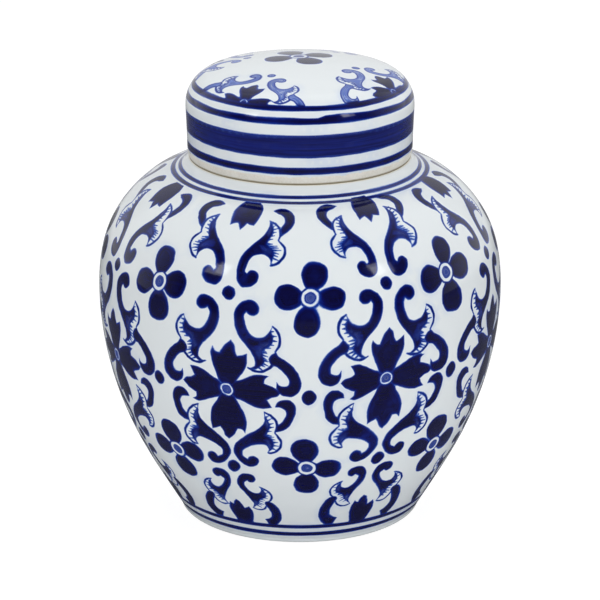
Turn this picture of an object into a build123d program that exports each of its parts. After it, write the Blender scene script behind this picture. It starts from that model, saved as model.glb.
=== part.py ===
from build123d import *
import math
import os

# A porcelain ginger jar: a round-bellied body, and a loose domed lid that drops over the body's neck.
# All sizes are in millimetres. The jar stands on z = 0, and the Z axis is the axis that it was turned about.

# Driving dimensions
total_height = 200.0
ledge_height = 159.0
belly_height = 96.0
belly_radius = 87.2
foot_radius = 53.0
lid_radius = 48.9
mouth_radius = 38.0
wall = 5.0

# Stations up the body's outline: radius, height, and the angle at which the surface faces up from level
belly_stations = [
    (71.8, 35.4, -26),
    (belly_radius, belly_height, 0),
    (81.0, 130.6, 26),
    (68.7, 145.6, 48),
]
foot_slope = (0.58, 1)
shoulder_slope = (-1, 0.3)

# Foot: a ring to stand on, with a shallow recess inside it
foot_round = 2.0
foot_ring_width = 7.0
recess_depth = 4.0
recess_taper = 2.5
floor_thickness = 6.0

# Collar, ledge and neck: the lid's rim rests on the ledge, and its skirt clears the neck all round
collar_width = 6.5
collar_rise = 5.1
ledge_overhang = 0.4
ledge_round = 0.5
neck_height = 13.0
neck_clearance = 1.6
lip_round = 1.6

# Lid: a skirt that flares slightly, a bare tapered rim below it, a well-rounded edge and a shallow dome
skirt_thickness = 4.0
skirt_flare = 0.7
rim_height = 2.9
rim_taper = 0.6
rim_round = 0.5
edge_radius = 14.3
edge_height = 181.8

# Derived radii
skirt_foot_radius = lid_radius - skirt_flare
rim_radius = skirt_foot_radius - rim_taper
lid_bore_radius = skirt_foot_radius - skirt_thickness
neck_radius = lid_bore_radius - neck_clearance
ledge_radius = rim_radius + ledge_overhang
recess_radius = foot_radius - foot_round - foot_ring_width

# Derived heights
neck_top = ledge_height + neck_height
inside_floor = recess_depth + floor_thickness

# The dome is an arc about a centre on the axis that runs on from the rounded edge with no corner, so the line
# through both centres also passes through the point where the two arcs meet.
edge_centre = lid_radius - edge_radius
crown_rise = total_height - edge_height - edge_radius
dome_radius = edge_radius + (edge_centre**2 + crown_rise**2) / (2 * crown_rise)
dome_centre = total_height - dome_radius
dome_angle = math.degrees(math.atan2(edge_centre, edge_height - dome_centre))


def turn(outline):
    """Sweep a closed outline, drawn as radius and height, once round the Z axis."""
    return revolve(Plane.XZ * make_face(outline), axis=Axis.Z)


def inset_stations(depth):
    """The body's stations, moved into the wall at right angles to the surface."""
    points = []
    for radius, height, lean in belly_stations:
        inwards = depth * math.cos(math.radians(lean))
        downwards = depth * math.sin(math.radians(lean))
        points.append((radius - inwards, height - downwards))
    return points


def vessel_blank():
    """The body's outside, still solid: foot, belly, shoulder, collar, ledge and neck."""
    foot_corner = (foot_radius, foot_round)
    collar_foot = (ledge_radius + collar_width, ledge_height - ledge_round - collar_rise)
    ledge_edge = (ledge_radius, ledge_height - ledge_round)
    outline = Curve() + [
        Line((0, 0), (foot_radius - foot_round, 0)),
        CenterArc((foot_radius - foot_round, foot_round), foot_round, -90, 90),
        Spline(foot_corner, *inset_stations(0), collar_foot, tangents=(foot_slope, shoulder_slope)),
        TangentArc(collar_foot, ledge_edge, tangent=shoulder_slope),
        Polyline(
            ledge_edge,
            (ledge_radius - ledge_round, ledge_height),
            (neck_radius, ledge_height),
            (neck_radius, neck_top),
            (0, neck_top),
            (0, 0),
        ),
    ]
    return turn(outline)


def vessel_cavity():
    """The space inside the body, from its floor to the top of its round mouth."""
    floor_edge = (recess_radius, inside_floor)
    mouth_foot = (mouth_radius, ledge_height - wall)
    outline = Curve() + [
        Line((0, inside_floor), floor_edge),
        Spline(floor_edge, *inset_stations(wall), mouth_foot, tangents=((1, 0.35), (-1, 0.7))),
        Polyline(mouth_foot, (mouth_radius, neck_top), (0, neck_top), (0, inside_floor)),
    ]
    return turn(outline)


def foot_recess():
    """The shallow dish under the jar, inside the foot ring."""
    return turn(
        Polyline(
            (0, 0),
            (recess_radius, 0),
            (recess_radius - recess_taper, recess_depth),
            (0, recess_depth),
            close=True,
        )
    )


def jar_body():
    """The vessel as one fired piece, with a rounded lip round its mouth."""
    body = vessel_blank() - vessel_cavity() - foot_recess()
    lip_edges = body.edges().filter_by(GeomType.CIRCLE).group_by(Axis.Z)[-1]
    return fillet(lip_edges, lip_round)


def domed_top(edge, crown):
    """The rounded edge and the dome above it, as two arcs that meet with no corner."""
    return [
        CenterArc((edge_centre, edge_height), edge, 0, 90 - dome_angle),
        CenterArc((0, dome_centre), crown, 90 - dome_angle, dome_angle),
    ]


def lid_blank():
    """The lid's outside, still solid: bare rim, skirt, rounded edge and dome."""
    outline = Curve() + [
        Polyline(
            (0, total_height),
            (0, ledge_height),
            (rim_radius, ledge_height),
            (skirt_foot_radius, ledge_height + rim_height),
            (lid_radius, edge_height),
        ),
        *domed_top(edge_radius, dome_radius),
    ]
    return turn(outline)


def lid_hollow():
    """The space inside the lid, which follows the outside at an even depth above the skirt."""
    inner_edge = lid_bore_radius - edge_centre
    inner_dome = dome_radius - (edge_radius - inner_edge)
    outline = Curve() + [
        Polyline(
            (0, dome_centre + inner_dome),
            (0, ledge_height),
            (lid_bore_radius, ledge_height),
            (lid_bore_radius, edge_height),
        ),
        *domed_top(inner_edge, inner_dome),
    ]
    return turn(outline)


def lid():
    """The cap as one fired piece, with its rim's two corners rounded."""
    cap = lid_blank() - lid_hollow()
    rim_edges = cap.edges().filter_by(GeomType.CIRCLE).group_by(Axis.Z)[0]
    return fillet(rim_edges, rim_round)


os.makedirs("parts", exist_ok=True)
for name, piece in (("jar_body", jar_body()), ("lid", lid())):
    export_step(piece, f"parts/{name}.step")
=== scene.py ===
"""The looks of a blue-and-white ginger jar: glazed porcelain with hand-painted cobalt flowers and scrolls.

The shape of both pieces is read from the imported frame. The painting is drawn as outlines on a flat design
sheet, and the sheet is wrapped round each piece without changing the shape of small things. Every outline of
the ink becomes edges of the mesh, so the painting is crisp. Values stored on the mesh tell the material how
deep inside a brush mark each point is, how thin the colour is there, and where the clay is bare.

Lengths are in millimetres until the meshes are made. Angles about the jar's axis start at its front, which
faces -Y. A place along a half section is the length walked along it from its upper end on the axis.
"""
import math
from dataclasses import dataclass, replace

import bpy
import numpy as np
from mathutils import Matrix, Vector
from mathutils.geometry import delaunay_2d_cdt


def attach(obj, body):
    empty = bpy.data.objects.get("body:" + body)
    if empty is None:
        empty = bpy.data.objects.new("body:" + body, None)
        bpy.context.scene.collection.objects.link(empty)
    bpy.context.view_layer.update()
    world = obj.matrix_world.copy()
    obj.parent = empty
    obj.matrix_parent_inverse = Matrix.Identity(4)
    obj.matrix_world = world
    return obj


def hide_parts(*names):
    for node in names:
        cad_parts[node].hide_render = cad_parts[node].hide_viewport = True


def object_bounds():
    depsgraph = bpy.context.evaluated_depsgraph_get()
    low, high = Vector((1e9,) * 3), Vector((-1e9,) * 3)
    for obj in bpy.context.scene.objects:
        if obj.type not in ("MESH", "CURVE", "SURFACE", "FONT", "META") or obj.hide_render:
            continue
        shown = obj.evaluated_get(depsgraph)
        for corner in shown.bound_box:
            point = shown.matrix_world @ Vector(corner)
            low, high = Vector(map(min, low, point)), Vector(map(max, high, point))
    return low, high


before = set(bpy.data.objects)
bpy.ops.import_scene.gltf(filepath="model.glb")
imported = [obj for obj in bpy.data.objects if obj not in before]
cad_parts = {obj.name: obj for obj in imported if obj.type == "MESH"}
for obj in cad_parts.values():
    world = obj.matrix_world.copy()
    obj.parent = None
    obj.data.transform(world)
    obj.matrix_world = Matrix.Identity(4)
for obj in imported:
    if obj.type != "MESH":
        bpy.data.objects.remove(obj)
cad_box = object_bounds()

MM = 0.001
TURN = 2 * math.pi
# How many points are in each plain ring of a mesh, and in each edge of a painted ring
SEGMENTS = 180
RING_POINTS = 400
# How far apart the mesh's points are along a painted outline, and where nothing is painted
CHORD = 0.9
GRID = 3.5
# Depths inside or outside the ink are stored up to FAR. SEEN is where the colour clearly changes with them.
FAR = 2.5
SEEN = (-0.45, 1.2)
# Lengths too short to see: between the two copies of a hard corner, and from a corner to a place beside it
HAIR = 1e-7
CLEAR = 1e-5
# A smaller radius than this is taken as this, so that nothing is divided by zero at the axis.
MIDDLE = 0.05
rng = np.random.default_rng(11)


# ---- Smooth curves ----

def smooth_run(points, step):
    """Points at most a step apart along a smooth curve through the given ones, and the way to its left."""
    gaps = np.linalg.norm(np.diff(points[:, :2], axis=0), axis=1)
    along = np.concatenate([[0], np.cumsum(gaps)])
    if len(points) > 2:
        slopes = np.gradient(points, along, axis=0)
    else:
        slopes = np.diff(points, axis=0)[[0, 0]] / gaps[0]
    counts = np.maximum(np.ceil(gaps / step).astype(int), 1)
    span = np.append(np.repeat(np.arange(len(gaps)), counts), len(gaps) - 1)
    t = np.append(np.concatenate([np.arange(count) / count for count in counts]), 1)[:, None]
    start, end = points[span], points[span + 1]
    out, into = slopes[span] * gaps[span, None], slopes[span + 1] * gaps[span, None]
    place = ((2 * t**3 - 3 * t**2 + 1) * start + (t**3 - 2 * t**2 + t) * out
             + (3 * t**2 - 2 * t**3) * end + (t**3 - t**2) * into)
    way = (6 * t**2 - 6 * t) * (start - end) + (3 * t**2 - 4 * t + 1) * out + (3 * t**2 - 2 * t) * into
    way = way[:, :2] / np.linalg.norm(way[:, :2], axis=1)[:, None]
    return place, np.column_stack([-way[:, 1], way[:, 0]])


def turning(points):
    """How far a line of points turns at each of them, in radians, with zeros at both ends."""
    steps = np.diff(points, axis=0)
    angles = np.unwrap(np.arctan2(steps[:, 1], steps[:, 0]))
    return np.concatenate([[0], np.diff(angles), [0]])


def even_angles(count):
    """Even angles all the way round."""
    return np.arange(count) * TURN / count


# ---- Half sections, read from the frame ----

def half_section(node):
    """The node's half section, walked from its upper end on the axis, round the outside, to its lower end."""
    near = 0.01
    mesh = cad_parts[node].data
    places = np.array([vertex.co for vertex in mesh.vertices]) / MM
    in_plane = np.flatnonzero((np.abs(places[:, 1]) < near) & (places[:, 0] > -near))
    names = {index: tuple(np.round(places[index, [0, 2]], 2)) for index in in_plane}
    links = {name: set() for name in names.values()}
    for edge in mesh.edges:
        one, other = (names.get(index) for index in edge.vertices)
        if one and other and one != other:
            links[one].add(other)
            links[other].add(one)
    # A flat ring has no edge in the plane of the section, but its two ends share a height.
    loose = [name for name in links if len(links[name]) == 1]
    for one in loose:
        links[one] |= {other for other in loose if other != one and abs(one[1] - other[1]) < 2 * near}
    ends = [name for name in links if len(links[name]) == 1]
    walk = [max(ends, key=lambda end: end[1])]
    while onward := [name for name in links[walk[-1]] if name not in walk]:
        walk.append(onward[0])
    if walk[0][0] > near:
        walk.insert(0, (0, walk[0][1]))
    if walk[-1][0] > near:
        walk.append((0, walk[-1][1]))
    return np.array(walk)


class Section:
    """A half section as smooth runs between its hard corners, measured by the length walked along it."""

    def __init__(self, points, corner=0.3, step=0.4):
        hard = np.flatnonzero(np.abs(turning(points)) > corner)
        stops = [0, *hard, len(points) - 1]
        runs = [smooth_run(points[first:last + 1], step) for first, last in zip(stops, stops[1:])]
        self.place = np.vstack([place for place, _ in runs])
        self.normal = np.vstack([normal for _, normal in runs])
        self.radius = self.place[:, 0]
        gaps = np.linalg.norm(np.diff(self.place, axis=0), axis=1)
        # A hard corner is there twice, once with each normal, and a hair's width keeps the two apart.
        self.walked = np.concatenate([[0], np.cumsum(gaps + HAIR)])
        lengths = np.cumsum([len(place) for place, _ in runs])
        self.corners = self.walked[np.concatenate([[0], lengths[:-1], [lengths[-1] - 1]])]

    def at(self, walked):
        """Radius, height, and the outward and upward parts of the normal, at a place along the section."""
        columns = np.column_stack([self.place, self.normal]).T
        return [np.interp(walked, self.walked, column) for column in columns]

    def nearest(self, radius, height):
        """The place along the section that is closest to a point."""
        return self.walked[np.argmin(np.hypot(self.radius - radius, self.place[:, 1] - height))]

    def rows(self, first, last, spacing=10.0, turn=0.3):
        """Places for rows of points between two places: at each corner, and closer where it bends."""
        corners = self.corners[(self.corners > first + 0.01) & (self.corners < last - 0.01)]
        stops = [first, *corners, last]
        rows = [first]
        for start, stop in zip(stops, stops[1:]):
            inner = (self.walked > start + CLEAR) & (self.walked < stop - CLEAR)
            walked = np.concatenate([[start], self.walked[inner], [stop]])
            lean = np.unwrap(np.arctan2(*self.at(np.clip(walked, start + CLEAR, stop - CLEAR))[2:]))
            cost = np.concatenate([[0], np.cumsum(np.diff(walked) / spacing + np.abs(np.diff(lean)) / turn)])
            count = max(math.ceil(cost[-1]), 1)
            rows += list(np.interp(np.linspace(0, cost[-1], count + 1)[1:], cost, walked))
        return np.array(rows)


class Sheet:
    """Wraps a flat design sheet round the outside of a turned piece, and keeps the shape of small things.

    The sheet is polar, and looks like the piece seen from above. A point's angle on the sheet is its angle
    about the axis. Its distance from the sheet's middle grows as the section is walked from first to last,
    always in step with the length round the piece. At the home place a millimetre on the sheet is a real one.
    """

    def __init__(self, section, first, last, home):
        inside = (section.walked >= first) & (section.walked <= last)
        self.section, self.first, self.last = section, first, last
        self.walked = section.walked[inside]
        radius = np.maximum(section.radius[inside], MIDDLE)
        start = np.argmin(np.abs(self.walked - home))
        rates = 1 / radius
        growth = np.concatenate([[0], np.cumsum(np.diff(self.walked) * (rates[1:] + rates[:-1]) / 2)])
        self.distance = radius[start] * np.exp(growth - growth[start])
        if section.radius[inside][0] < MIDDLE:
            self.distance[:start] = self.walked[:start] * self.distance[start] / self.walked[start]

    def read(self, places):
        """Angle about the axis, and place along the section, for places on the sheet."""
        angle = np.arctan2(places[:, 0], -places[:, 1])
        return angle, np.interp(np.hypot(*places.T), self.distance, self.walked)

    def scale(self, places):
        """Real millimetres to one on the sheet."""
        radius = self.section.at(self.read(places)[1])[0]
        return np.maximum(radius, MIDDLE) / np.maximum(np.hypot(*places.T), MIDDLE)

    def ring(self, walked, count=SEGMENTS, turn=0.0):
        """A ring of points on the sheet, at a place along the section, turned by part of a step."""
        return polar(np.interp(walked, self.walked, self.distance), (np.arange(count) + turn) * TURN / count)

    def grid(self):
        """Evenly spread points over the whole sheet, clear of its edges."""
        count = max(round((self.last - self.first) / GRID), 1)
        rings = []
        for row, walked in enumerate(np.linspace(self.first, self.last, count + 1)[1:-1]):
            around = max(round(TURN * self.section.at(walked)[0] / GRID), 5)
            rings.append(self.ring(walked, around, 0.5 * (row % 2)))
        return np.vstack(rings)


def polar(distance, angle):
    """Places on a sheet at distances from its middle and angles from the front."""
    return np.column_stack([distance * np.sin(angle), -distance * np.cos(angle)])


body_section = Section(half_section("jar_body"))
lid_section = Section(half_section("lid"))


# ---- Brush marks ----

@dataclass
class Mark:
    """A patch inside a closed outline, of ink, bare of ink, or where a wash thins the ink."""
    outline: np.ndarray
    kind: str = "ink"
    thin: float = 0.0


@dataclass
class Band:
    """A ring of ink, or one wiped bare, between two edges given as distances from the sheet's middle."""
    upper: np.ndarray
    lower: np.ndarray
    kind: str = "ink"
    thin: float = 0.0


def tip(x, y):
    """A point where an outline turns sharply."""
    return (x, y, "tip")


def thinned_out(places, straight=0.13):
    """A closed outline without every other point where it is nearly straight."""
    way = np.diff(np.vstack([places[-1:], places, places[:1]]), axis=0)
    angle = np.arctan2(way[:, 1], way[:, 0])
    turn = np.abs(np.angle(np.exp(1j * np.diff(angle))))
    spare = (turn < straight) & (np.roll(turn, 1) < straight) & (np.roll(turn, -1) < straight)
    return places[~(spare & (np.arange(len(places)) % 2 == 1))]


def outline(*points):
    """A closed outline through the points, smooth except at its tips. It needs at least one tip."""
    tips = [index for index, point in enumerate(points) if len(point) == 3]
    places = np.array([point[:2] for point in points], float)
    places = np.vstack([np.roll(places, -tips[0], axis=0), places[tips[0]]])
    stops = [index - tips[0] for index in tips] + [len(points)]
    runs = [smooth_run(places[start:stop + 1], CHORD)[0][:-1] for start, stop in zip(stops, stops[1:])]
    return thinned_out(np.vstack(runs))


def wash(amount, *points):
    """A patch where the ink is thinner."""
    return Mark(outline(*points), "wash", amount)


def stroke(*points, step=CHORD):
    """A brush stroke through points of the form (x, y, half the brush's width there), with round ends."""
    spine, left = smooth_run(np.array(points, float), step)
    width = np.maximum(spine[:, 2:], 0.05)
    sides = [spine[:, :2] + left * width, spine[:, :2] - left * width]
    caps = []
    for end, sense in ((-1, 1), (0, -1)):
        turn = np.radians([50, 90, 130])[:, None] if width[end] > 0.6 else np.radians([[90]])
        way = np.array([left[end, 1], -left[end, 0]]) * sense
        caps.append(spine[end, :2] + (np.cos(turn) * left[end] * sense + np.sin(turn) * way) * width[end])
    return Mark(thinned_out(np.vstack([sides[0], caps[0], sides[1][::-1], caps[1]])))


def disc(x, y, radius, squash=1.0, lumps=0.0):
    """The outline of a round blob, which may be taller than wide, with a few soft lumps round its edge."""
    turn = even_angles(max(round(TURN * radius / CHORD), 10))
    swell = 1 + lumps * (np.cos(4 * turn) + 0.6 * np.cos(7 * turn + 1))
    return np.column_stack([x + radius * swell * np.cos(turn), y + radius * squash * swell * np.sin(turn)])


def moved(marks, x=0.0, y=0.0, turn=0.0, scale=1.0):
    """The marks, scaled by one number or by one for x and one for y, turned anticlockwise, and shifted."""
    cosine, sine = math.cos(math.radians(turn)), math.sin(math.radians(turn))
    matrix = np.array([[cosine, -sine], [sine, cosine]]) @ np.diag(np.broadcast_to(scale, 2))
    return [replace(mark, outline=mark.outline @ matrix.T + (x, y)) for mark in marks]


def mirrored(marks, side):
    """The marks as they are on the right, or mirrored for the left when the side is -1."""
    return moved(marks, scale=(side, 1))


def by_hand(marks, x, y, turn=1.5, size=0.02, drift=0.4):
    """The marks, a little turned and resized about a point, and shifted, as no two painted copies agree."""
    centred = moved(marks, -x, -y)
    x, y = rng.normal((x, y), drift)
    return moved(centred, x, y, rng.normal(0, turn), 1 + rng.normal(0, size))


# ---- Flowers ----

def eye(ring, pupil):
    """A flower's middle: a painted edge, and a bare ring round a thinly painted dot."""
    edge = 0.75
    return [
        Mark(disc(0, 0, ring + edge)),
        Mark(disc(0, 0, ring), "bare"),
        Mark(disc(0, 0, pupil), thin=0.45),
    ]


def round_petal(reach=9.9, radius=5.9):
    """One petal of a small flower, growing upward from the flower's middle."""
    low, wide, high = reach - radius, radius, reach + radius
    return Mark(outline(
        tip(-2.9, low - 0.3), (-wide * 0.84, reach - radius * 0.55), (-wide, reach + 0.3),
        (-wide * 0.8, high - 2.1), (-1.4, high - 0.1), (1.3, high - 0.3), (wide * 0.8, high - 2.0),
        (wide * 1.03, reach), (wide * 0.82, low + 2.2), tip(2.8, low - 0.2), (0, low - 1.2),
    ))


def small_flower():
    """Four round petals about a bare ring."""
    petals = []
    for quarter, reach, radius in ((0, 10.2, 6.1), (1, 9.7, 5.8), (2, 10.6, 6.4), (3, 9.5, 5.9)):
        petal = moved([round_petal(reach, radius)], scale=(rng.normal(0.92, 0.05), 1))
        petals += moved(petal, turn=90 * quarter + rng.normal(0, 4))
    return petals + eye(3.95, 2.5)


def notched_petal(length):
    """One petal of a large flower, growing upward, with a tip in the middle and a shorter one each side."""
    shoulder, notch = length - 5.2, length - 6.2
    return Mark(outline(
        (-2.7, 2.4), (-4.8, 6.2), (-7.0, 10.8), (-7.8, 14.2), tip(-7.2, shoulder + 0.9), (-5.8, notch + 0.2),
        tip(-3.9, notch), (-2.2, length - 2.4), tip(0.2, length), (1.9, length - 1.7), (2.7, length - 4.4),
        tip(3.7, notch + 0.3), (5.6, notch + 1.2), tip(7.3, shoulder + 1.2), (7.7, 14.0), (6.8, 10),
        (4.6, 6.0), (2.7, 2.4), (0, 2.0),
    ))


def large_flower():
    """Four notched petals about a thin bare ring."""
    petals = []
    for quarter, length in enumerate((21.2, 20.2, 24.6, 21.8)):
        petals += moved([notched_petal(length)], turn=90 * quarter + rng.normal(0, 2))
    return petals + eye(2.75, 2.05)


def hanging_bud():
    """The half flower that hangs from the shoulder line, drawn from the middle of the line's lower edge."""
    return [Mark(outline(
        tip(-4.6, 1.5), (-6.9, -2.8), (-8.4, -9.5), (-7.6, -15.5), tip(-7.0, -19.4), (-4.8, -18.2),
        tip(-3.0, -17.6), (-1.8, -19.6), tip(-0.4, -22.4), (1.4, -19.6), tip(2.4, -17.6), (4.6, -18.6),
        tip(6.4, -19.0), (7.4, -15.5), (8.6, -9.0), (7.9, -3.0), tip(5.2, 1.5),
    ))]


def standing_bud():
    """The half flower that stands on the foot line, drawn from the middle of the line's upper edge."""
    return [Mark(outline(
        tip(5.0, -1.5), (6.4, 4.0), (7.4, 9.5), (7.2, 13.0), tip(5.7, 16.9), (4.0, 15.4), tip(2.7, 14.4),
        (1.6, 18.6), (0.4, 21.4), tip(-0.9, 22.3), (-2.4, 20.4), tip(-3.5, 17.3), (-4.6, 17.8),
        tip(-5.6, 19.0), (-7.1, 14.2), (-7.3, 8.5), (-6.2, 3.2), tip(-5.4, -1.5),
    ))]


# ---- Scrolls: a curled stem that opens into a leaf with a combed edge, and a hook that springs from it ----

def comb(edge, way, reach, count):
    """Fine tapering strokes that fan out from a leaf's edge. The way is in degrees, the reach a length."""
    fan, root_inset = 26, 0.5
    shares, half_widths = (0, 0.55, 1), (0.44, 0.26, 0.1)
    run, _ = smooth_run(np.array(edge, float), 0.4)
    roots = run[np.linspace(1, len(run) - 2, count).astype(int)]
    strokes = []
    for root, spread in zip(roots, np.linspace(0.5, -0.5, count)):
        length = reach * rng.uniform(0.65, 1.2)
        lean = np.radians(rng.normal(way + fan * spread, 5))
        heading = np.array([math.cos(lean), math.sin(lean)])
        spots = [root + heading * (share * length - root_inset) for share in shares]
        strokes.append(stroke(*[(*spot, width) for spot, width in zip(spots, half_widths)], step=3.0))
    return strokes


def rim(*points):
    """The thin line round the far side of a leaf's comb, of even width but for its two ends."""
    widths = [0.25, *[0.52] * (len(points) - 2), 0.3]
    return stroke(*[(*point, width) for point, width in zip(points, widths)])


def tall_scroll():
    """The scroll over each upper dot: its leaf points up, towards the shoulder."""
    upper_comb = [
        (16.2, 59.3), (17.0, 57.4), (17.8, 55.5), (17.6, 52.5), (16.9, 49.8), (15.9, 47.4), (15.4, 45.6),
    ]
    lower_comb = [(15.4, 45.6), (17.2, 44.0), (18.8, 42.6), (19.2, 40.6), (18.7, 38.2)]
    leaf = Mark(outline(
        tip(7.7, 30.0), (9.1, 31.5), (11.0, 31.8), (12.6, 30.4), (12.6, 27.8), (10.8, 25.2), (8.2, 24.0),
        (5.4, 24.1), (3.6, 26.2), (2.9, 30.4), (3.2, 35.0), (4.9, 39.8), (8.2, 44.2), (11.8, 48.6),
        (14.2, 53.2), (15.2, 57.6), tip(14.9, 61.4), *upper_comb[:-1], tip(*upper_comb[-1]), *lower_comb[1:],
        tip(18.0, 34.9), (17.5, 37.6), (15.6, 39.4), (12.9, 39.8), (10.0, 38.8), (7.9, 36.0), (7.0, 33.0),
        (6.8, 30.8),
    ))
    rims = [
        rim((14.9, 61.2), (17.2, 59.8), (20.0, 57.6), (21.3, 54.8), (21.6, 51.6), (20.9, 48.8)),
        rim((20.7, 48.4), (22.4, 46.4), (24.0, 43.6), (23.9, 40.8), (22.2, 37.8), (20.0, 35.7), (17.8, 34.8)),
    ]
    hook = Mark(outline(
        tip(21.4, 50.6), (21.9, 53.0), (21.3, 55.2), (22.3, 58.0), (23.4, 61.2), (22.8, 64.2), (21.0, 66.4),
        (18.5, 67.6), (16.8, 68.9), tip(15.3, 70.1), (17.2, 71.7), (19.8, 72.8), (22.8, 72.6), (26.2, 70.0),
        (28.4, 66.0), (28.8, 61.8), (27.2, 57.2), (24.4, 53.4),
    ))
    washes = [
        wash(0.3, tip(15.6, 58.6), (16.8, 55.8), (16.4, 52.4), tip(15.4, 50.6), (14.6, 52.4), (15.2, 55.4)),
        wash(0.25, tip(12.2, 42.2), (14.6, 43.8), (17.6, 42.6), tip(18.4, 40.2), (15.6, 40.6)),
    ]
    return [leaf, *rims, *comb(upper_comb, 20, 2.7, 7), *comb(lower_comb, -5, 3.5, 7), hook, *washes]


def wide_scroll():
    """The scroll under each upper dot: its leaf opens outward, and its hook curls beside the large flower."""
    upper_comb = [(18.8, 8.4), (19.6, 6.2), (19.7, 4.0), (18.4, 2.0), (16.6, 0.6), (15.7, -0.6)]
    lower_comb = [(15.7, -0.6), (15.9, -2.8), (16.5, -4.8), (15.4, -6.6), (13.8, -7.8)]
    leaf = Mark(outline(
        tip(8.2, 14.8), (9.6, 13.8), (11.6, 13.9), (13.1, 15.3), (13.2, 17.2), (12.0, 19.1), (9.9, 19.9),
        (7.4, 19.4), (4.9, 17.6), (3.2, 14.8), (3.0, 11.4), (3.9, 7.6), (5.9, 4.0), (8.6, 1.2), (10.9, -1.4),
        (12.4, -4.2), (12.6, -6.8), tip(10.4, -8.6), (12.6, -8.6), *lower_comb[::-1][:-1],
        tip(*lower_comb[0]), *upper_comb[::-1][1:], tip(19.3, 10.4), (17.9, 7.6), (15.9, 5.6), (13.2, 4.9),
        (10.6, 5.7), (8.7, 8.0), (7.6, 11.0), (7.4, 13.6),
    ))
    rims = [
        rim((19.2, 10.3), (20.9, 9.0), (22.5, 6.2), (22.6, 2.8), (20.8, -0.3)),
        rim((9.4, -8.2), (11.6, -9.1), (14.2, -9.5), (17.2, -8.4), (19.6, -5.9), (19.8, -4.0)),
    ]
    hook = Mark(outline(
        tip(21.0, -0.4), (19.3, -1.6), (18.0, -3.8), (19.0, -6.0), (21.6, -7.0), (24.2, -9.6), (26.0, -12.8),
        (25.4, -15.0), (23.2, -15.7), (22.2, -15.4), tip(21.1, -13.8), (21.0, -17.0), (22.3, -19.4),
        (25.2, -20.5), (28.4, -19.7), (30.6, -17.0), (30.9, -13.2), (28.8, -8.2), (25.0, -4.0), (22.2, -2.0),
    ))
    washes = [
        wash(0.28, tip(12.6, -1.6), (14.4, 1.4), (17.4, 3.6), tip(18.8, 3.2), (15.8, 0.8), (14.6, -3.6)),
    ]
    return [leaf, *rims, *comb(upper_comb, -8, 2.2, 6), *comb(lower_comb, -24, 2.5, 7), hook, *washes]


def low_wide_scroll():
    """The scroll over each lower dot: it curls in at its foot, and its hook rises beside the large flower."""
    upper_comb = [(15.9, -31.0), (17.3, -33.5), (18.1, -36.0), (17.4, -38.8), (16.6, -41.2)]
    lower_comb = [(16.6, -41.2), (18.6, -42.3), (20.2, -44.3), (20.6, -46.3), (19.8, -48.8)]
    leaf = Mark(outline(
        tip(15.2, -28.6), *upper_comb[:-1], tip(*upper_comb[-1]), *lower_comb[1:], tip(17.8, -50.9),
        (18.4, -48.6), (17.2, -46.7), (12.1, -46.7), (7.6, -48.7), (5.4, -51.0), (5.6, -53.9),
        tip(8.0, -55.9), (9.1, -54.3), (11.0, -53.6), (13.1, -54.9), (13.6, -57.2), (12.4, -59.7),
        (9.4, -60.8), (5.9, -59.5), (2.8, -55.9), (1.1, -51.3), (2.0, -47.7), (4.7, -44.2), (8.4, -40.9),
        (12.2, -38.3), (14.7, -35.5), (15.6, -32.2),
    ))
    rims = [
        rim((15.3, -28.7), (17.9, -30.3), (20.4, -32.9), (21.3, -35.7), (20.6, -39.3)),
        rim(
            (20.6, -39.7), (22.4, -41.9), (23.8, -44.7), (23.6, -47.5), (21.9, -50.0), (19.8, -51.1),
            (18.0, -51.0),
        ),
    ]
    hook = Mark(outline(
        tip(20.7, -35.7), (22.4, -34.7), (24.1, -31.9), (24.7, -29.2), (23.7, -27.2), (21.8, -26.3),
        tip(19.9, -26.2), (20.9, -24.0), (23.0, -22.7), (25.8, -22.8), (28.1, -24.9), (29.0, -28.2),
        (28.1, -32.2), (26.2, -36.7), (23.6, -38.4), tip(20.9, -38.9),
    ))
    washes = [
        wash(0.35, tip(16.0, -31.2), (15.9, -34.4), tip(16.7, -37.4), (17.6, -35.4)),
        wash(0.3, tip(17.0, -42.8), (17.4, -46.0), tip(18.6, -49.6), (19.6, -46.2)),
    ]
    return [leaf, *rims, *comb(upper_comb, 16, 2.1, 6), *comb(lower_comb, 0, 2.6, 6), hook, *washes]


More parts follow.
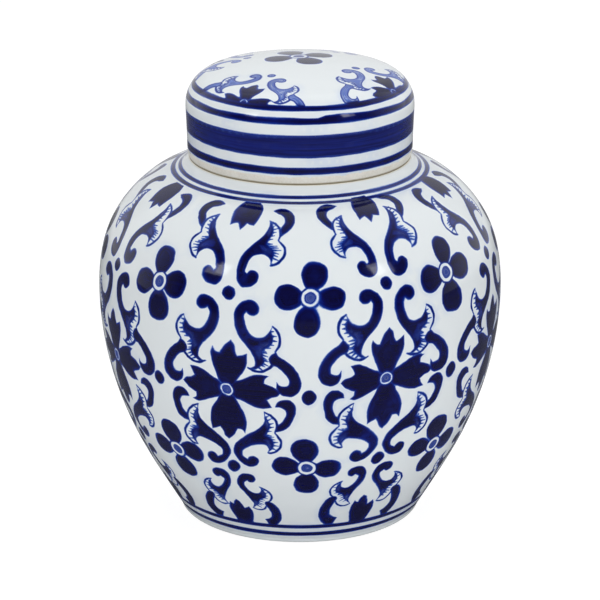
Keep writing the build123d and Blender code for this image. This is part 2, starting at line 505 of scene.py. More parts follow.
def low_scroll():
    """The scroll under each lower dot: it is short, and a thick hook carries on from it to the foot line."""
    upper_comb = [(15.7, -76.0), (16.8, -78.0), (17.2, -80.5), (16.2, -83.0), (13.7, -84.5)]
    lower_comb = [(13.7, -84.5), (12.6, -86.6), (12.0, -89.0), (10.4, -91.2)]
    leaf = Mark(outline(
        tip(7.4, -70.4), (9.0, -71.5), (11.0, -70.6), (11.9, -67.9), (10.6, -65.7), (7.3, -64.9),
        (4.1, -66.0), (2.1, -68.9), (1.5, -72.5), (2.4, -76.5), (4.5, -80.0), (6.4, -83.5), (8.1, -87.1),
        (9.1, -89.6), tip(8.0, -94.5), *lower_comb[::-1][:-1], tip(*lower_comb[0]), *upper_comb[::-1][1:],
        tip(13.7, -73.8), (14.6, -75.8), (14.5, -77.5), (13.2, -79.3), (10.7, -79.8), (7.9, -78.1),
        (6.1, -75.1), (5.6, -71.8),
    ))
    rims = [
        rim((14.0, -74.0), (16.8, -75.4), (19.2, -77.7), (20.2, -80.7), (19.4, -84.0), (18.2, -86.0)),
        rim((16.5, -89.9), (15.7, -92.5), (13.7, -94.7), (10.7, -95.4), (8.1, -94.6)),
    ]
    hook = Mark(outline(
        tip(15.6, -88.4), (16.2, -86.3), (18.4, -85.6), (20.8, -87.0), (23.0, -89.8), (24.7, -93.4),
        (25.7, -97.6), (26.0, -101.5), (25.3, -105.0), (23.8, -108.3), tip(21.8, -111.0), tip(17.4, -111.0),
        (16.2, -108.0), tip(14.9, -105.2), (17.6, -103.5), (19.2, -101.2), (19.4, -98.4), (18.6, -95.1),
        (17.1, -91.4),
    ))
    washes = [
        wash(0.3, tip(15.0, -76.6), (14.8, -79.6), tip(15.2, -82.4), (16.6, -79.8)),
        wash(0.4, tip(9.2, -86.6), (11.6, -87.2), (11.0, -90.2), tip(8.6, -93.4), (9.4, -90.0)),
    ]
    return [leaf, *rims, *comb(upper_comb, 8, 2.1, 5), *comb(lower_comb, -20, 3.0, 5), hook, *washes]


# ---- The body's painting, on a strip whose x runs round the belly and whose y runs up from it ----

COLUMNS = 8
FLOWER_COLUMN = math.radians(2.2)
SCROLL_COLUMN = math.radians(-20.3)
SMALL_FLOWERS = (21.4, -60.5)
LARGE_FLOWER = -19.0
SHOULDER_LINES = ((84.0, 81.1), (78.5, 75.3))
FOOT_LINES = ((-110.4, -114.1), (-118.3, -122.3))

# How much higher than its place the painter set the top and the foot of each column, and how far the foot of
# each scroll column leans to the right
SCROLL_LIFT = (
    (0.0, -1.5), (3.6, 2.6), (1.5, 0.5), (-1.0, -1.5), (0.8, 1.2), (-0.6, 0.4), (0.9, -0.8), (-0.8, -1.2),
)
FLOWER_LIFT = (
    (0.2, 0.0), (2.6, 0.8), (0.4, -0.6), (-0.8, 0.6), (0.6, -0.4), (-0.5, 0.5), (0.8, -0.9), (0.0, 0.4),
)
SCROLL_LEAN = (-4.2, -0.3, 1.2, -1.6, 0.8, 2.0, -0.9, -1.4)

belly_radius = body_section.radius.max()
belly_place = body_section.walked[np.argmax(body_section.radius)]
body_sheet = Sheet(
    body_section, body_section.nearest(48.0, 158.5), body_section.nearest(53.0, 2.0), belly_place,
)


def lifted(marks, lift, lean=0.0):
    """The marks raised by their column's lift, and moved aside below the large flower.

    The lift goes from its top value at the upper small flower to its foot value at the lower one, and fades
    out next to the shoulder lines and the foot lines.
    """
    top, foot = lift
    upper, lower = SMALL_FLOWERS
    raised = []
    for mark in marks:
        height = mark.outline[:, 1]
        share = np.clip((height - lower) / (upper - lower), -0.2, 1.2)
        share = share - np.clip((height - 45) / 30, 0, 1) * share
        rise = (foot + (top - foot) * share) * np.clip((height + 108) / 20, 0, 1)
        aside = lean * np.clip((LARGE_FLOWER - 6 - height) / 50, 0, 1)
        raised.append(replace(mark, outline=mark.outline + np.column_stack([aside, rise])))
    return raised


def flower_column():
    """Two small flowers, with a dot between them."""
    marks = [Mark(disc(rng.normal(0, 0.6), -21.8, rng.uniform(2.9, 3.2), 1.12, 0.02))]
    for height, scale in zip(SMALL_FLOWERS, (1.0, 1.08)):
        marks += by_hand(moved(small_flower(), 0, height, scale=scale), 0, height, turn=3)
    return marks


def scroll_column():
    """Everything about a large flower: buds above and below, four pairs of scrolls, and two dots."""
    marks = moved(hanging_bud(), rng.normal(1.5, 1), SHOULDER_LINES[1][1])
    marks += moved(standing_bud(), rng.normal(-0.5, 1), FOOT_LINES[0][0])
    marks += [
        Mark(disc(rng.normal(0, 0.5), 21.6, 2.75, 1.05, 0.02)),
        Mark(disc(rng.normal(1, 0.5), -61.3, 3.4, 1.15, 0.02)),
    ]
    marks += by_hand(moved(large_flower(), 0, LARGE_FLOWER), 0, LARGE_FLOWER)
    scrolls = ((tall_scroll, 42), (wide_scroll, 4), (low_wide_scroll, -42), (low_scroll, -84))
    for side in (1, -1):
        for design, height in scrolls:
            marks += by_hand(mirrored(design(), side), side * 14, height)
    return marks


def body_marks():
    """The painting between the shoulder lines and the foot lines, in strip places."""
    marks = []
    for column in range(COLUMNS):
        turn = column * TURN / COLUMNS
        flowers = lifted(flower_column(), FLOWER_LIFT[column])
        scrolls = lifted(scroll_column(), SCROLL_LIFT[column], SCROLL_LEAN[column])
        marks += moved(scrolls, (SCROLL_COLUMN + turn) * belly_radius)
        marks += moved(flowers, (FLOWER_COLUMN + turn) * belly_radius)
    return marks


def wander(strip):
    """Strip places, shifted as by a hand that drifts: slow waves, and small quick ones."""
    angle, height = strip[:, 0] / belly_radius, strip[:, 1] / belly_radius
    shift = np.zeros_like(strip)
    for cycles, amount in ((2, 0.5), (5, 0.45), (9, 0.35), (61, 0.07), (97, 0.07), (140, 0.05)):
        for part in range(2):
            phase, slope = rng.uniform(0, TURN), rng.normal(0, 1)
            shift[:, part] += amount * np.sin(cycles * (angle + slope * height) + phase)
    shift[:, 1] += 0.9 * np.sin(angle - 0.3)
    return strip + shift


def from_middle(height):
    """Distance from the middle of the body's sheet, for heights on the strip."""
    return belly_radius * np.exp(-height / belly_radius)


def drifting(marks):
    """The marks on the body's sheet, after the hand's drift."""
    lengths = np.cumsum([len(mark.outline) for mark in marks])[:-1]
    strip = wander(np.vstack([mark.outline for mark in marks]))
    places = polar(from_middle(strip[:, 1]), strip[:, 0] / belly_radius)
    return [replace(mark, outline=outline) for mark, outline in zip(marks, np.split(places, lengths))]


def ring_edge(height, wobble):
    """One edge of a ring, as heights at even angles all the way round, with a hand's waver."""
    for cycles in (2, 3, 7, 13, 29):
        phase, amount = rng.uniform(0, TURN), rng.normal(0, wobble) / cycles**0.6
        height = height + amount * np.sin(cycles * even_angles(RING_POINTS) + phase)
    return height


def body_band(upper, lower, wobble=0.14):
    """A ring round the body, between two heights on the strip."""
    return Band(*[from_middle(ring_edge(height, wobble)) for height in (upper, lower)])


# ---- The lid's painting, on a sheet that is very nearly the lid seen from above ----

# Each half flower on the lid: its angle about the jar's axis, how far it is turned on the spot, and how far
# outward it is set
LID_GROUPS = ((-31.5, 0.0, 0.0), (61.7, -15.0, 0.0), (152.0, 4.0, 7.0), (-116.0, 3.0, 3.0))

skirt_foot = lid_section.nearest(48.2, 161.9)
lid_sheet = Sheet(lid_section, 0.0, skirt_foot, 3.0)


def washed(marks, amount):
    """The marks with their ink thinned."""
    return [replace(mark, thin=amount) if mark.kind == "ink" else mark for mark in marks]


def lid_group():
    """A dot, two scrolls and a flower, whose lower half is wiped off later, drawn up from its middle."""
    marks = [Mark(disc(0, 23.7, 1.75), thin=0.8)]
    for side in (1, -1):
        scroll = moved(moved(wide_scroll(), -10.5, -16.6), 6.8, 21.3, 20, 0.72)
        marks += mirrored(washed(by_hand(scroll, 10, 10), 0.85), side)
    return marks + moved(large_flower(), scale=(0.7, 0.62))


def lid_marks():
    """The painting of the lid's top: a small flower near its middle, and groups round its edge."""
    marks = []
    for turn, skew, outward in LID_GROUPS:
        arm, reach = math.radians(turn), 46.6 + outward
        marks += moved(lid_group(), math.sin(arm) * reach, -math.cos(arm) * reach, turn + skew)
    flower = []
    for quarter in range(4):
        flower += moved([round_petal(9.9, 5.5)], turn=24 + 90 * quarter + rng.normal(0, 3))
    return marks + moved(flower + eye(3.7, 2.3), -0.5, 8.6)


def lid_band(upper, lower, wobble=0.18, step=0.0, **look):
    """A ring round the lid, between two places along its section. A step is where its stroke began."""
    angle = np.degrees(even_angles(RING_POINTS))
    rise = step * np.clip((angle - 9) / 4, 0, 1) * np.clip((60 - angle) / 40, 0, 1)
    edges = (-ring_edge(-upper, wobble) - rise, -ring_edge(-lower, wobble))
    return Band(*[np.interp(edge, lid_sheet.walked, lid_sheet.distance) for edge in edges], **look)


# ---- Reading the painting at a point ----

def depth_inside(edge, places):
    """How far each place is inside a closed outline, and, as a negative number, how far outside."""
    way_x, way_y = (np.roll(edge, -1, axis=0) - edge).T
    off_x, off_y = places[:, :1] - edge[:, 0], places[:, 1:] - edge[:, 1]
    share = np.clip((off_x * way_x + off_y * way_y) / np.maximum(way_x**2 + way_y**2, 1e-12), 0, 1)
    distance = np.sqrt(((off_x - share * way_x)**2 + (off_y - share * way_y)**2).min(axis=1))
    above = off_y < 0
    slope = way_x / np.where(way_y == 0, 1, way_y)
    crosses = (above != np.roll(above, -1, axis=1)) & (off_x < off_y * slope)
    return np.where(crosses.sum(axis=1) % 2 == 1, distance, -distance)


def inside_band(band, sheet, places):
    """How far each place is inside a ring, in real millimetres."""
    angle, distance = sheet.read(places)[0] % TURN, np.maximum(np.hypot(*places.T), 1e-6)
    turns = np.linspace(0, TURN, RING_POINTS + 1)
    upper, lower = (np.interp(angle, turns, np.append(edge, edge[0])) for edge in (band.upper, band.lower))
    return np.minimum(np.log(distance / upper), np.log(lower / distance)) * distance * sheet.scale(places)


def read_paint(sheet, layers, places):
    """How deep each place is inside the ink, in real millimetres, and how thin the ink is there.

    The layers are taken in the order in which the painter put them on.
    """
    scale = sheet.scale(places)
    order = np.argsort(places[:, 0])
    across = places[order, 0]
    depth, thin = np.full(len(places), -FAR), np.zeros(len(places))
    for layer in layers:
        if isinstance(layer, Band):
            near = slice(None)
            inside = inside_band(layer, sheet, places)
        else:
            low, high = layer.outline.min(axis=0), layer.outline.max(axis=0)
            margin = FAR / sheet.scale((low + high)[None] / 2)[0]
            near = order[np.searchsorted(across, low[0] - margin):np.searchsorted(across, high[0] + margin)]
            near = near[(places[near, 1] > low[1] - margin) & (places[near, 1] < high[1] + margin)]
            inside = depth_inside(layer.outline, places[near]) * scale[near]
        if layer.kind == "ink":
            depth[near] = np.maximum(depth[near], inside)
            covered = np.clip(inside / 0.8 + 1, 0, 1)
            thin[near] = thin[near] * (1 - covered) + layer.thin * covered
        elif layer.kind == "bare":
            depth[near] = np.minimum(depth[near], -inside)
        else:
            thin[near] = np.maximum(thin[near], layer.thin * np.clip(inside + 0.5, 0, 1))
    return np.column_stack([np.clip(depth, -FAR, FAR), thin])


# ---- Meshes ----

def edge_loops(sheet, layers):
    """The closed loops that have to be edges of the mesh: the sheet's rims, and every outline of the ink."""
    loops = [sheet.ring(sheet.last)] + ([sheet.ring(sheet.first)] if sheet.first > 0 else [])
    for layer in layers:
        if isinstance(layer, Mark) and layer.kind != "wash":
            loops.append(layer.outline)
        elif isinstance(layer, Band) and layer.kind == "ink":
            loops += [polar(edge, even_angles(RING_POINTS)) for edge in (layer.upper, layer.lower)]
    return loops


def unseen(sheet, layers, places, links, depth):
    """The middles of links along which the painting changes in a way that the links' two ends don't show."""
    shortest, rim_margin, threshold = 0.55, 0.6, 0.2
    one, other = links.T
    middles = (places[one] + places[other]) / 2
    walked = sheet.read(middles)[1]
    length = np.linalg.norm(places[one] - places[other], axis=1) * sheet.scale(middles)
    # A link that runs straight into or out of a mark has nothing between its ends to find.
    doubtful = (length > shortest) & (length - np.abs(depth[one] - depth[other]) > 0.35)
    doubtful &= np.minimum(np.abs(depth[one]), np.abs(depth[other])) < 1.3
    doubtful &= (walked > sheet.first + rim_margin * (sheet.first > 0)) & (walked < sheet.last - rim_margin)
    one, other, middles = one[doubtful], other[doubtful], middles[doubtful]
    paint = read_paint(sheet, layers, middles)
    shown = (np.clip(depth[one], *SEEN) + np.clip(depth[other], *SEEN)) / 2
    wrong = np.abs(np.clip(paint[:, 0], *SEEN) - shown) > threshold
    return middles[wrong], paint[wrong]


def triangulated(sheet, layers, points, paint, edges):
    """The triangulation of the points with the edges kept, its places on the sheet, and the paint there."""
    result = delaunay_2d_cdt([Vector(point) for point in points], edges, [], 0, 1e-5, True)
    places = np.array([tuple(place) for place in result[0]])
    source = np.array([sources[0] if sources else -1 for sources in result[3]])
    place_paint = paint[source]
    place_paint[source < 0] = read_paint(sheet, layers, places[source < 0])
    return result, places, place_paint


def painted_mesh(sheet, layers):
    """Triangles over the whole sheet with every painted outline among their edges.

    Returns the places on the sheet, the paint at each, the triangles, and the indices of the points of the
    sheet's outer and inner rims.
    """
    loops = edge_loops(sheet, layers)
    starts = np.cumsum([0] + [len(loop) for loop in loops])
    edges = []
    for start, loop in zip(starts, loops):
        index = np.arange(len(loop))
        edges += np.column_stack([start + index, start + (index + 1) % len(loop)]).tolist()

    # Points of the grid that are close to an outline would only make slivers.
    points = np.vstack([*loops, sheet.grid()])
    paint = read_paint(sheet, layers, points)
    kept = (np.arange(len(points)) < starts[-1]) | (np.abs(paint[:, 0]) > 0.9)
    points, paint = points[kept], paint[kept]
    for _ in range(2):
        result, places, place_paint = triangulated(sheet, layers, points, paint, edges)
        free = np.array([link for link, sources in zip(result[1], result[4]) if not sources])
        more_points, more_paint = unseen(sheet, layers, places, free, place_paint[:, 0])
        points, paint = np.vstack([points, more_points]), np.vstack([paint, more_paint])
    result, places, place_paint = triangulated(sheet, layers, points, paint, edges)

    faces = np.array(result[2])
    rims = 1
    if sheet.first > 0:
        rims = 2
        hole_radius = np.hypot(*loops[1][0]) * math.cos(math.pi / SEGMENTS)
        faces = faces[np.hypot(*places[faces].mean(axis=1).T) >= hole_radius]
    came_from = {source: index for index, sources in enumerate(result[3]) for source in sources}
    rim_index = [[came_from[rim * SEGMENTS + step] for step in range(SEGMENTS)] for rim in range(rims)]
    return places, place_paint, faces, rim_index


class Shell:
    """The points and faces of a turned piece. A point is an angle and a place along the section.

    Each corner of a face has a place of its own, just inside the face, so that a hard corner stays hard.
    """

    def __init__(self, section, sheet, places, faces):
        angle, walked = sheet.read(places)
        inside = np.clip(walked, sheet.first + CLEAR, sheet.last - CLEAR)
        self.section = section
        self.angles, self.walks = [angle], [walked]
        self.faces, self.face_walks = [faces], [inside[faces]]
        self.count = len(angle)

    def add_rings(self, row, first, last):
        """Adds plain rings of faces over the section from one place to another, from a row of points on."""
        after = (np.arange(SEGMENTS) + 1) % SEGMENTS
        down = last > first
        stops = self.section.rows(min(first, last), max(first, last))
        for here, there in zip(stops, stops[1:]) if down else zip(stops[::-1], stops[-2::-1]):
            on_axis = self.section.at(there)[0] < 1e-3
            size = 1 if on_axis else SEGMENTS
            new = self.count + np.arange(SEGMENTS) % size
            self.angles.append(even_angles(size))
            self.walks.append(np.full(size, there))
            self.count += size
            inset = math.copysign(CLEAR, there - here)
            corners = [row, row[after], new[after], new][:3 if on_axis else 4]
            levels = [here + inset, here + inset, there - inset, there - inset][:len(corners)]
            if down:
                corners, levels = corners[::-1], levels[::-1]
            self.faces.append(np.column_stack(corners))
            self.face_walks.append(np.tile(levels, (SEGMENTS, 1)))
            row = new

    def mesh(self, name):
        """The shell as a mesh in metres, with the section's own normals."""
        angles, walks = np.concatenate(self.angles), np.concatenate(self.walks)
        radius, height, _, _ = self.section.at(walks)
        radius = np.where(radius < 1e-3, 0, radius)
        places = np.column_stack([polar(radius, angles), height]) * MM
        mesh = bpy.data.meshes.new(name)
        mesh.from_pydata(places.tolist(), [], [face for group in self.faces for face in group.tolist()])
        mesh.polygons.foreach_set("use_smooth", [True] * len(mesh.polygons))
        corner_angles = np.concatenate([angles[group].ravel() for group in self.faces])
        _, _, out, up = self.section.at(np.concatenate([group.ravel() for group in self.face_walks]))
        normals = np.column_stack([polar(out, corner_angles), up])
        mesh.normals_split_custom_set((normals / np.linalg.norm(normals, axis=1)[:, None]).tolist())
        return mesh


def store(mesh, name, values):
    """Keeps a number for each point of the mesh, for the material to read."""
    attribute = mesh.attributes.new(name, "FLOAT", "POINT")
    attribute.data.foreach_set("value", np.asarray(values, np.float32))


def turned_piece(name, section, sheet, layers, bare_and_shade_spans):
    """The whole closed mesh of a piece: its painted outside, and plain rings over the rest of its section."""
    places, paint, faces, rims = painted_mesh(sheet, layers)
    shell = Shell(section, sheet, places, faces)
    shell.add_rings(np.array(rims[0]), sheet.last, section.walked[-1])
    if sheet.first > 0:
        shell.add_rings(np.array(rims[1]), sheet.first, 0.0)
    mesh = shell.mesh(name)
    plain = shell.count - len(places)
    walks = np.concatenate(shell.walks)
    store(mesh, "depth", np.concatenate([paint[:, 0], np.full(plain, -FAR)]))
    store(mesh, "thin", np.concatenate([paint[:, 1], np.zeros(plain)]))
    # Where two bare spans overlap the sum reaches two, which the material paints as the shade of the lid's
    # seam.
    store(mesh, "bare", sum(between(*span, walks) for span in bare_and_shade_spans))
    piece = bpy.data.objects.new(name, mesh)
    bpy.context.scene.collection.objects.link(piece)
    return piece


def between(first, last, walked):
    """One where a place is between two others, and nought elsewhere, with short slopes at the two ends."""
    return np.clip(np.minimum(walked - first, last - walked) / 0.4 + 0.5, 0, 1)


# ---- Porcelain ----

class Tree:
    """A node tree, with one call to add a node, set it and feed it."""

    def __init__(self, data):
        data.use_nodes = True
        self.tree = data.node_tree
        self.tree.nodes.clear()

    def add(self, kind, feeds=None, output=0, **settings):
        """Adds a node, and returns one of its outputs. A feed is a value or another node's output."""
        node = self.tree.nodes.new(kind)
        for name, value in settings.items():
            setattr(node, name, value)
        for name, value in (feeds or {}).items():
            self.feed(node.inputs[name], value)
        return node.outputs[output] if node.outputs else node

    def feed(self, socket, value):
        """Links another node's output to an input, or sets the input to a value."""
        if isinstance(value, bpy.types.NodeSocket):
            self.tree.links.new(value, socket)
        else:
            socket.default_value = value

    def value(self, operation, *feeds, clamp=False):
        """The result of a sum."""
        return self.add("ShaderNodeMath", dict(enumerate(feeds)), operation=operation, use_clamp=clamp)

    def times(self, one, other):
        return self.value("MULTIPLY", one, other)

    def plus(self, one, other):
        return self.value("ADD", one, other)

    def span(self, value, low, high, start=0.0, end=1.0):
        """A value that goes from start to end, and no further, as another goes from low to high."""
        feeds = {"Value": value, "From Min": low, "From Max": high, "To Min": start, "To Max": end}
        return self.add("ShaderNodeMapRange", feeds)

    def noise(self, place, scale, detail=2.0, roughness=0.5):
        """Noise between -1 and 1, whose features are about one over the scale across."""
        feeds = {"Vector": place, "Scale": scale, "Detail": detail, "Roughness": roughness}
        return self.value("MULTIPLY_ADD", self.add("ShaderNodeTexNoise", feeds), 2.0, -1.0)

    def ramp(self, value, *stops):
        """Colours read off a scale of values."""
        low, high = stops[0][0], stops[-1][0]
        colours = self.add("ShaderNodeValToRGB", {"Fac": self.span(value, low, high)})
        elements = colours.node.color_ramp.elements
        while len(elements) < len(stops):
            elements.new(0.5)
        for element, (position, colour) in zip(elements, stops):
            element.position = (position - low) / (high - low)
            element.color = rgb(*colour)
        return colours

    def mix(self, share, one, other):
        """One colour turning into the other as the share goes from nought to one."""
        node = self.add("ShaderNodeMix", data_type="RGBA").node
        # The node also has inputs for numbers and vectors: these three are its share and its two colours.
        for index, value in ((0, share), (6, one), (7, other)):
            self.feed(node.inputs[index], value)
        return node.outputs[2]


def linear(part):
    """One part of a screen colour, from 0 to 255, as light."""
    share = part / 255
    return share / 12.92 if share <= 0.04045 else ((share + 0.055) / 1.055) ** 2.4


def rgb(*parts):
    return (*[linear(part) for part in parts], 1)


GLAZE = (233, 238, 240)
CLAY = (234, 231, 221)


def full_ink(tree, place, depth, thin, streak, mottle):
    """Cobalt laid on thickly: darkest where it pools, and livelier where the brush left streaks."""
    ink = tree.ramp(
        depth, (-0.3, GLAZE), (-0.12, (160, 182, 226)), (0.02, (34, 72, 166)), (0.32, (12, 34, 122)),
        (0.75, (8, 14, 86)), (1.25, (9, 9, 62)), (1.8, (9, 7, 48)),
    )
    lively = tree.span(tree.plus(streak, tree.times(mottle, 0.3)), 0.0, 0.7, 0.0, 0.6)
    off_edge = tree.span(depth, 0.2, 0.7)
    off_core = tree.span(depth, 1.2, 2.2, 1.0, 0.35)
    ink = tree.mix(tree.times(tree.times(lively, off_edge), off_core), ink, rgb(14, 36, 130))
    # In the widest marks the brush went round level, and left fine streaks there.
    level = tree.add("ShaderNodeVectorMath", {0: place, 1: (22.0, 22.0, 1100.0)}, operation="MULTIPLY")
    level_streak = tree.span(tree.noise(level, 1.0, 3.0, 0.6), -0.4, 0.6)
    widest = tree.span(depth, 1.0, 2.0, 0.0, 0.6)
    brushed_out = tree.span(thin, 0.0, 0.05, 0.15, 1.0)
    return tree.mix(tree.times(tree.times(level_streak, widest), brushed_out), ink, rgb(18, 34, 150))


def thin_ink(tree, depth, thin, streak_place):
    """Cobalt thinned with water: a dark line round the edge, and white between the hairs of the brush."""
    ink = tree.ramp(
        depth, (-0.3, GLAZE), (-0.1, (140, 162, 218)), (0.05, (24, 42, 138)), (0.2, (24, 40, 132)),
        (0.42, (62, 92, 180)), (0.8, (94, 124, 204)),
    )
    off_edge = tree.span(depth, 0.2, 0.7)
    scant = tree.span(tree.noise(streak_place, 3.4, 2.0), 0.05, 0.4, 0.0, 0.85)
    ink = tree.mix(tree.times(scant, off_edge), ink, rgb(206, 218, 238))
    strong = tree.times(tree.value("SUBTRACT", 1.0, thin), off_edge)
    return tree.mix(strong, ink, rgb(14, 62, 186))


def painting(tree, place, mottle):
    """The colour of glazed clay: white, cobalt where it is painted, and a faint haze beside the ink."""
    depth = tree.add("ShaderNodeAttribute", output=2, attribute_name="depth")
    thin = tree.add("ShaderNodeAttribute", output=2, attribute_name="thin")
    # The brush carries more ink in some places than in others, and the colour bleeds a little into the glaze.
    load = tree.value("MULTIPLY_ADD", tree.noise(place, 75.0, 1.0), 0.9, 1.0)
    bleed = tree.times(tree.noise(place, 900.0), 0.08)
    ink_depth = tree.plus(tree.times(depth, tree.value("MAXIMUM", load, 0.35)), bleed)
    # Brush streaks follow the outlines: the noise is fine across the stroke and long along it.
    across = tree.add("ShaderNodeCombineXYZ", {"X": tree.times(depth, 1.3), "Y": 0.0, "Z": 0.0})
    along = tree.add("ShaderNodeVectorMath", {0: place, "Scale": 50.0}, operation="SCALE")
    streak_place = tree.add("ShaderNodeVectorMath", {0: across, 1: along}, operation="ADD")
    streak = tree.noise(streak_place, 1.3, 3.0, 0.6)
    full = full_ink(tree, place, ink_depth, thin, streak, mottle)
    weak = thin_ink(tree, ink_depth, thin, streak_place)
    weak_share = tree.value("MULTIPLY", thin, tree.value("MULTIPLY_ADD", streak, 0.5, 0.95), clamp=True)
    painted = tree.mix(weak_share, full, weak)
    # The haze hangs in the glaze here and there, next to the ink but not over it.
    hazy = tree.times(tree.span(depth, -2.4, -0.4), tree.span(tree.noise(place, 40.0, 2.0), 0.0, 0.5))
    off_ink = tree.span(ink_depth, -0.5, -0.3, 0.6, 0.0)
    return tree.mix(tree.times(hazy, off_ink), painted, rgb(188, 205, 235))


def bare_clay_with_seam_shade(tree, bare, mottle, rough_clay):
    """The colour of fired clay without glaze, with painted shade in the seam under the lid's rim."""
    clay = tree.ramp(
        tree.plus(mottle, rough_clay), (-1, (220, 214, 200)), (0.2, CLAY), (1, (240, 237, 229)),
    )
    # Painted shade: where two bare spans overlap, the clay is darkened as the shadowed seam under the lid's
    # rim.
    seam_shade = tree.span(tree.plus(bare, tree.times(mottle, 0.08)), 1.7, 1.95)
    return tree.mix(seam_shade, clay, rgb(150, 140, 112))


def porcelain(name):
    """White clay under clear glaze, painted in cobalt, and bare of glaze, where the mesh says so."""
    material = bpy.data.materials.new(name)
    tree = Tree(material)
    place = tree.add("ShaderNodeTexCoord", output=3)
    bare = tree.add("ShaderNodeAttribute", output=2, attribute_name="bare")
    mottle = tree.noise(place, 170.0, 3.0)
    rough_clay = tree.noise(place, 1400.0, 4.0)
    bare_here = tree.span(tree.plus(bare, tree.times(mottle, 0.25)), 0.4, 0.6)
    colour = tree.mix(bare_here, painting(tree, place, mottle), bare_clay_with_seam_shade(tree, bare, mottle, rough_clay))

    # Glaze is smooth but never flat: it pools and ripples slightly. Bare clay is finely rough.
    glaze_height = tree.plus(tree.noise(place, 45.0, 1.0), tree.times(tree.noise(place, 420.0, 2.0), 0.05))
    clay_height = tree.times(tree.times(rough_clay, bare_here), 0.3)
    bump = tree.add("ShaderNodeBump", {
        "Height": tree.plus(glaze_height, clay_height), "Strength": 0.5, "Distance": 0.00012,
    })
    roughness = tree.span(tree.plus(bare_here, tree.times(mottle, 0.02)), 0.0, 1.0, 0.07, 0.72)
    tree.add("ShaderNodeOutputMaterial", {"Surface": tree.add("ShaderNodeBsdfPrincipled", {
        "Base Color": colour, "Roughness": roughness, "Normal": bump, "IOR": 1.5, "Specular IOR Level": 0.5,
    })})
    return material


# ---- The two pieces ----

ledge_edge = body_section.nearest(48.0, 159.0)
# Each piece has spans of its section that are bare of glaze. Where two overlap, painted shade darkens the
# clay.
# The body is bare on the outside of its neck, on its ledge, and under its foot ring.
body_bare_and_shade = [
    (body_section.nearest(38.0, 170.4), ledge_edge),
    # The ledge's outer edge lies in two spans, for a line of painted shade under the lid's rim.
    (body_section.nearest(46.5, 159.0), ledge_edge),
    (body_section.nearest(52.0, 0.3), body_section.nearest(42.5, 2.4)),
]
body_bands = [body_band(*edges) for edges in (*SHOULDER_LINES, *FOOT_LINES)]
body = turned_piece(
    "jar_body_glazed", body_section, body_sheet, drifting(body_marks()) + body_bands, body_bare_and_shade,
)

# The lid is bare round its rim.
rim_foot = lid_section.nearest(47.6, 159.0)
lid_bare_and_shade = [
    (skirt_foot - 0.2, lid_section.nearest(44.2, 162.0)),
    # The rim's foot lies in both spans, for a line of painted shade where it sits on the body.
    (rim_foot - 0.6, rim_foot + 1.2),
]
# The top's painting is wiped off below the border line. The wide band is brushed over twice in its middle.
lid_bands = [
    lid_band(46.8, 80.0, kind="bare"),
    lid_band(45.9, 48.4),
    lid_band(51.2, 54.0, step=1.0),
    lid_band(58.6, 68.0, thin=0.3),
    lid_band(60.3, 67.0, wobble=0.3, thin=0.06),
    lid_band(62.4, 64.9, wobble=0.3, thin=0.1),
    lid_band(72.4, 75.5),
]
lid = turned_piece("lid_glazed", lid_section, lid_sheet, lid_marks() + lid_bands, lid_bare_and_shade)

for piece, body_name, node, slot in (
    (body, "jar", "jar_body", "body_porcelain"),
    (lid, "cap", "lid", "lid_porcelain"),
):
    piece.data.materials.append(porcelain(slot))
    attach(piece, body_name)
    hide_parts(node)


# ---- Floor, light and camera: places here are in metres ----

def pale_paper():
    """White paper that is lit from behind as well, which leaves only the faintest shadow under the jar."""
    material = bpy.data.materials.new("pale_paper")
    tree = Tree(material)
    place = tree.add("ShaderNodeTexCoord", output=3)
    paper = tree.ramp(tree.noise(place, 60.0), (-1, (250, 250, 250)), (1, (254, 254, 254)))
    seen = tree.add("ShaderNodeLightPath", output=0)
    mirrored_in_glaze = tree.add("ShaderNodeLightPath", output=3)
    back = tree.add("ShaderNodeSeparateXYZ", {"Vector": place}, output=1)
    mirrored_glow = tree.times(mirrored_in_glaze, tree.span(back, 0.5, 1.3, 0.0, 0.6))
    glow = tree.plus(tree.times(seen, 0.92), mirrored_glow)
    colour = tree.mix(tree.value("MAXIMUM", seen, mirrored_in_glaze), paper, rgb(112, 113, 115))
    tree.add("ShaderNodeOutputMaterial", {"Surface": tree.add("ShaderNodeBsdfPrincipled", {
        "Base Color": colour, "Roughness": 0.9, "Specular IOR Level": 0.1,
        "Emission Color": rgb(255, 255, 255), "Emission Strength": glow,
    })})
    return material


def studio_floor():
    """A plain pale sheet that curves up behind the jar."""
    width, front, back, rise, top = 4.0, -2.5, 1.2, 0.8, 3.0
    curve = [(front, 0.0), (back, 0.0)]
    for turn in np.linspace(0.1, math.pi / 2, 16):
        curve.append((back + rise * math.sin(turn), rise * (1 - math.cos(turn))))
    curve.append((back + rise, top))
    points = [(side * width / 2, y, z) for y, z in curve for side in (-1, 1)]
    faces = [(2 * row, 2 * row + 1, 2 * row + 3, 2 * row + 2) for row in range(len(curve) - 1)]
    mesh = bpy.data.meshes.new("studio_floor")
    mesh.from_pydata(points, [], faces)
    mesh.polygons.foreach_set("use_smooth", [True] * len(faces))
    mesh.materials.append(pale_paper())
    floor = bpy.data.objects.new("studio_floor", mesh)
    bpy.context.scene.collection.objects.link(floor)


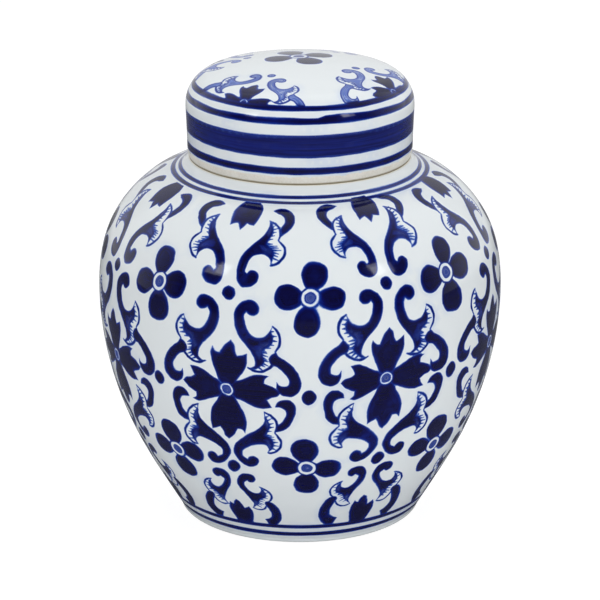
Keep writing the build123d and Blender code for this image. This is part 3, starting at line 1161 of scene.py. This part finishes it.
def soft_light(name, place, target, size, power, mirrored_in_glaze=False):
    """A rectangular lamp facing a point."""
    lamp = bpy.data.lights.new(name, "AREA")
    lamp.shape = "RECTANGLE"
    lamp.size, lamp.size_y = size
    lamp.energy = power
    holder = bpy.data.objects.new(name, lamp)
    holder.location = place
    holder.rotation_euler = (Vector(target) - Vector(place)).to_track_quat("-Z", "Y").to_euler()
    holder.visible_glossy = mirrored_in_glaze
    bpy.context.scene.collection.objects.link(holder)


def pale_room():
    """Even light from all round. In the glaze it shows as a room that is bright behind the jar only."""
    world = bpy.data.worlds.new("studio")
    bpy.context.scene.world = world
    tree = Tree(world)
    way = tree.add("ShaderNodeSeparateXYZ", {"Vector": tree.add("ShaderNodeTexCoord", output=0)}, output=1)
    room = tree.span(way, -0.3, 0.8, 0.04, 1.2)
    mirrored_in_glaze = tree.add("ShaderNodeLightPath", output=3)
    light = tree.add("ShaderNodeMix", {"Factor": mirrored_in_glaze, "A": 0.4, "B": room})
    tree.add("ShaderNodeOutputWorld", {"Surface": tree.add("ShaderNodeBackground", {
        "Color": (0.97, 0.985, 1.0, 1), "Strength": light,
    })})


def lamps():
    """Soft light from above and both sides, and a pair of small bright windows on each side."""
    middle = (0, 0, cad_box[1][2] / 2)
    soft_light("overhead", (0, 0.35, 1.5), middle, (1.6, 1.6), 10.8)
    soft_light("soft_left", (-0.8, -1.3, 0.9), middle, (0.9, 0.9), 4.5)
    soft_light("soft_right", (0.9, -1.2, 0.8), middle, (0.9, 0.9), 5.9)
    for side in (-1, 1):
        for offset in (0, 0.14):
            place = (side * (1.0 + offset), -0.85, 1.0)
            soft_light("window", place, middle, (0.2 + offset, 0.3), 0.45 + offset, mirrored_in_glaze=True)


def photo_camera():
    """A long lens a little above the jar, aimed just below the middle of the jar's height."""
    elevation, distance, aim_height = math.radians(18.8), 1.3098, 0.09255
    camera = bpy.data.cameras.new("camera")
    camera.lens, camera.sensor_width = 180, 36
    holder = bpy.data.objects.new("camera", camera)
    aim = Vector((0, 0, aim_height))
    holder.location = aim + Vector((0, -math.cos(elevation), math.sin(elevation))) * distance
    holder.rotation_euler = (aim - holder.location).to_track_quat("-Z", "Y").to_euler()
    bpy.context.scene.collection.objects.link(holder)
    bpy.context.scene.camera = holder


studio_floor()
pale_room()
lamps()
photo_camera()
bpy.context.scene.view_settings.view_transform = "Standard"
